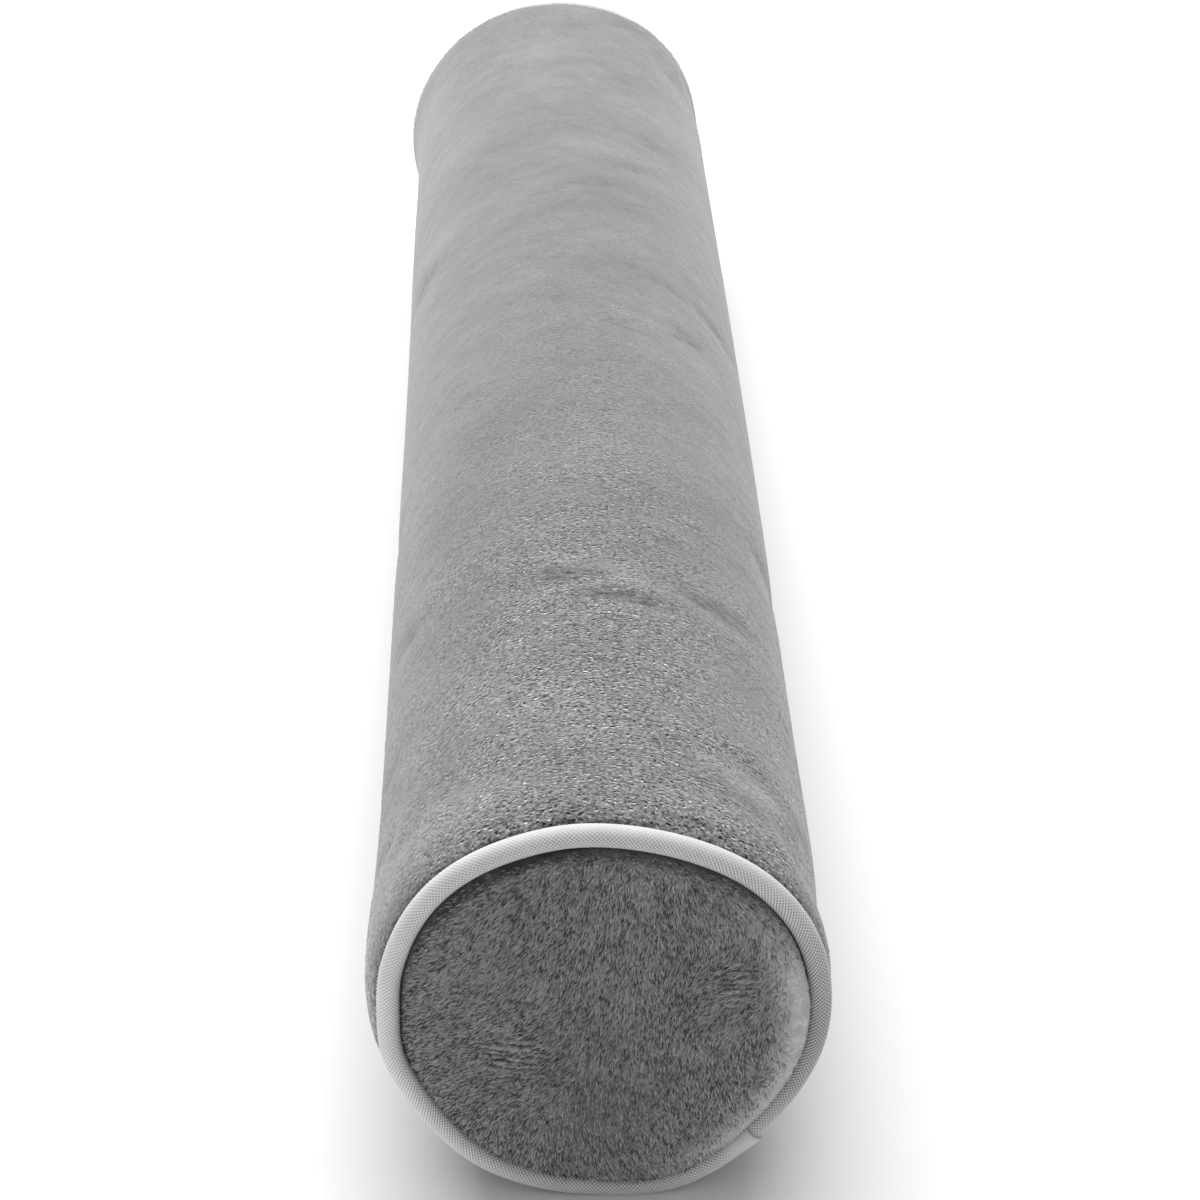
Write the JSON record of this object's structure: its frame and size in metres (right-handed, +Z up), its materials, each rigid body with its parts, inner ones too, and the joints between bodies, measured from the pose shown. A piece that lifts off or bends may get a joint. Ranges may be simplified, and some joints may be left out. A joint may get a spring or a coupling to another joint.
{
  "type": "neck roll pillow",
  "caption": "Long round bolster in short grey plush with a domed round panel and a woven piped edge at each end, lying on its side",
  "frame": {"origin": "on the resting surface, under the middle of the roll's bounding box", "axes": "+Y along the roll, from the end that faces the viewer to the far end; +Z up; +X to the viewer's right"},
  "size_m": [0.1032, 0.5372, 0.0998],
  "materials": {
    "plush": "short-pile plush",
    "piping": "woven bias strip"
  },
  "bodies": {
    "root": {"barrel": "plush", "end_panel_near": "plush", "end_panel_far": "plush", "piping_near": "piping", "piping_far": "piping"}
  },
  "joints": []
}
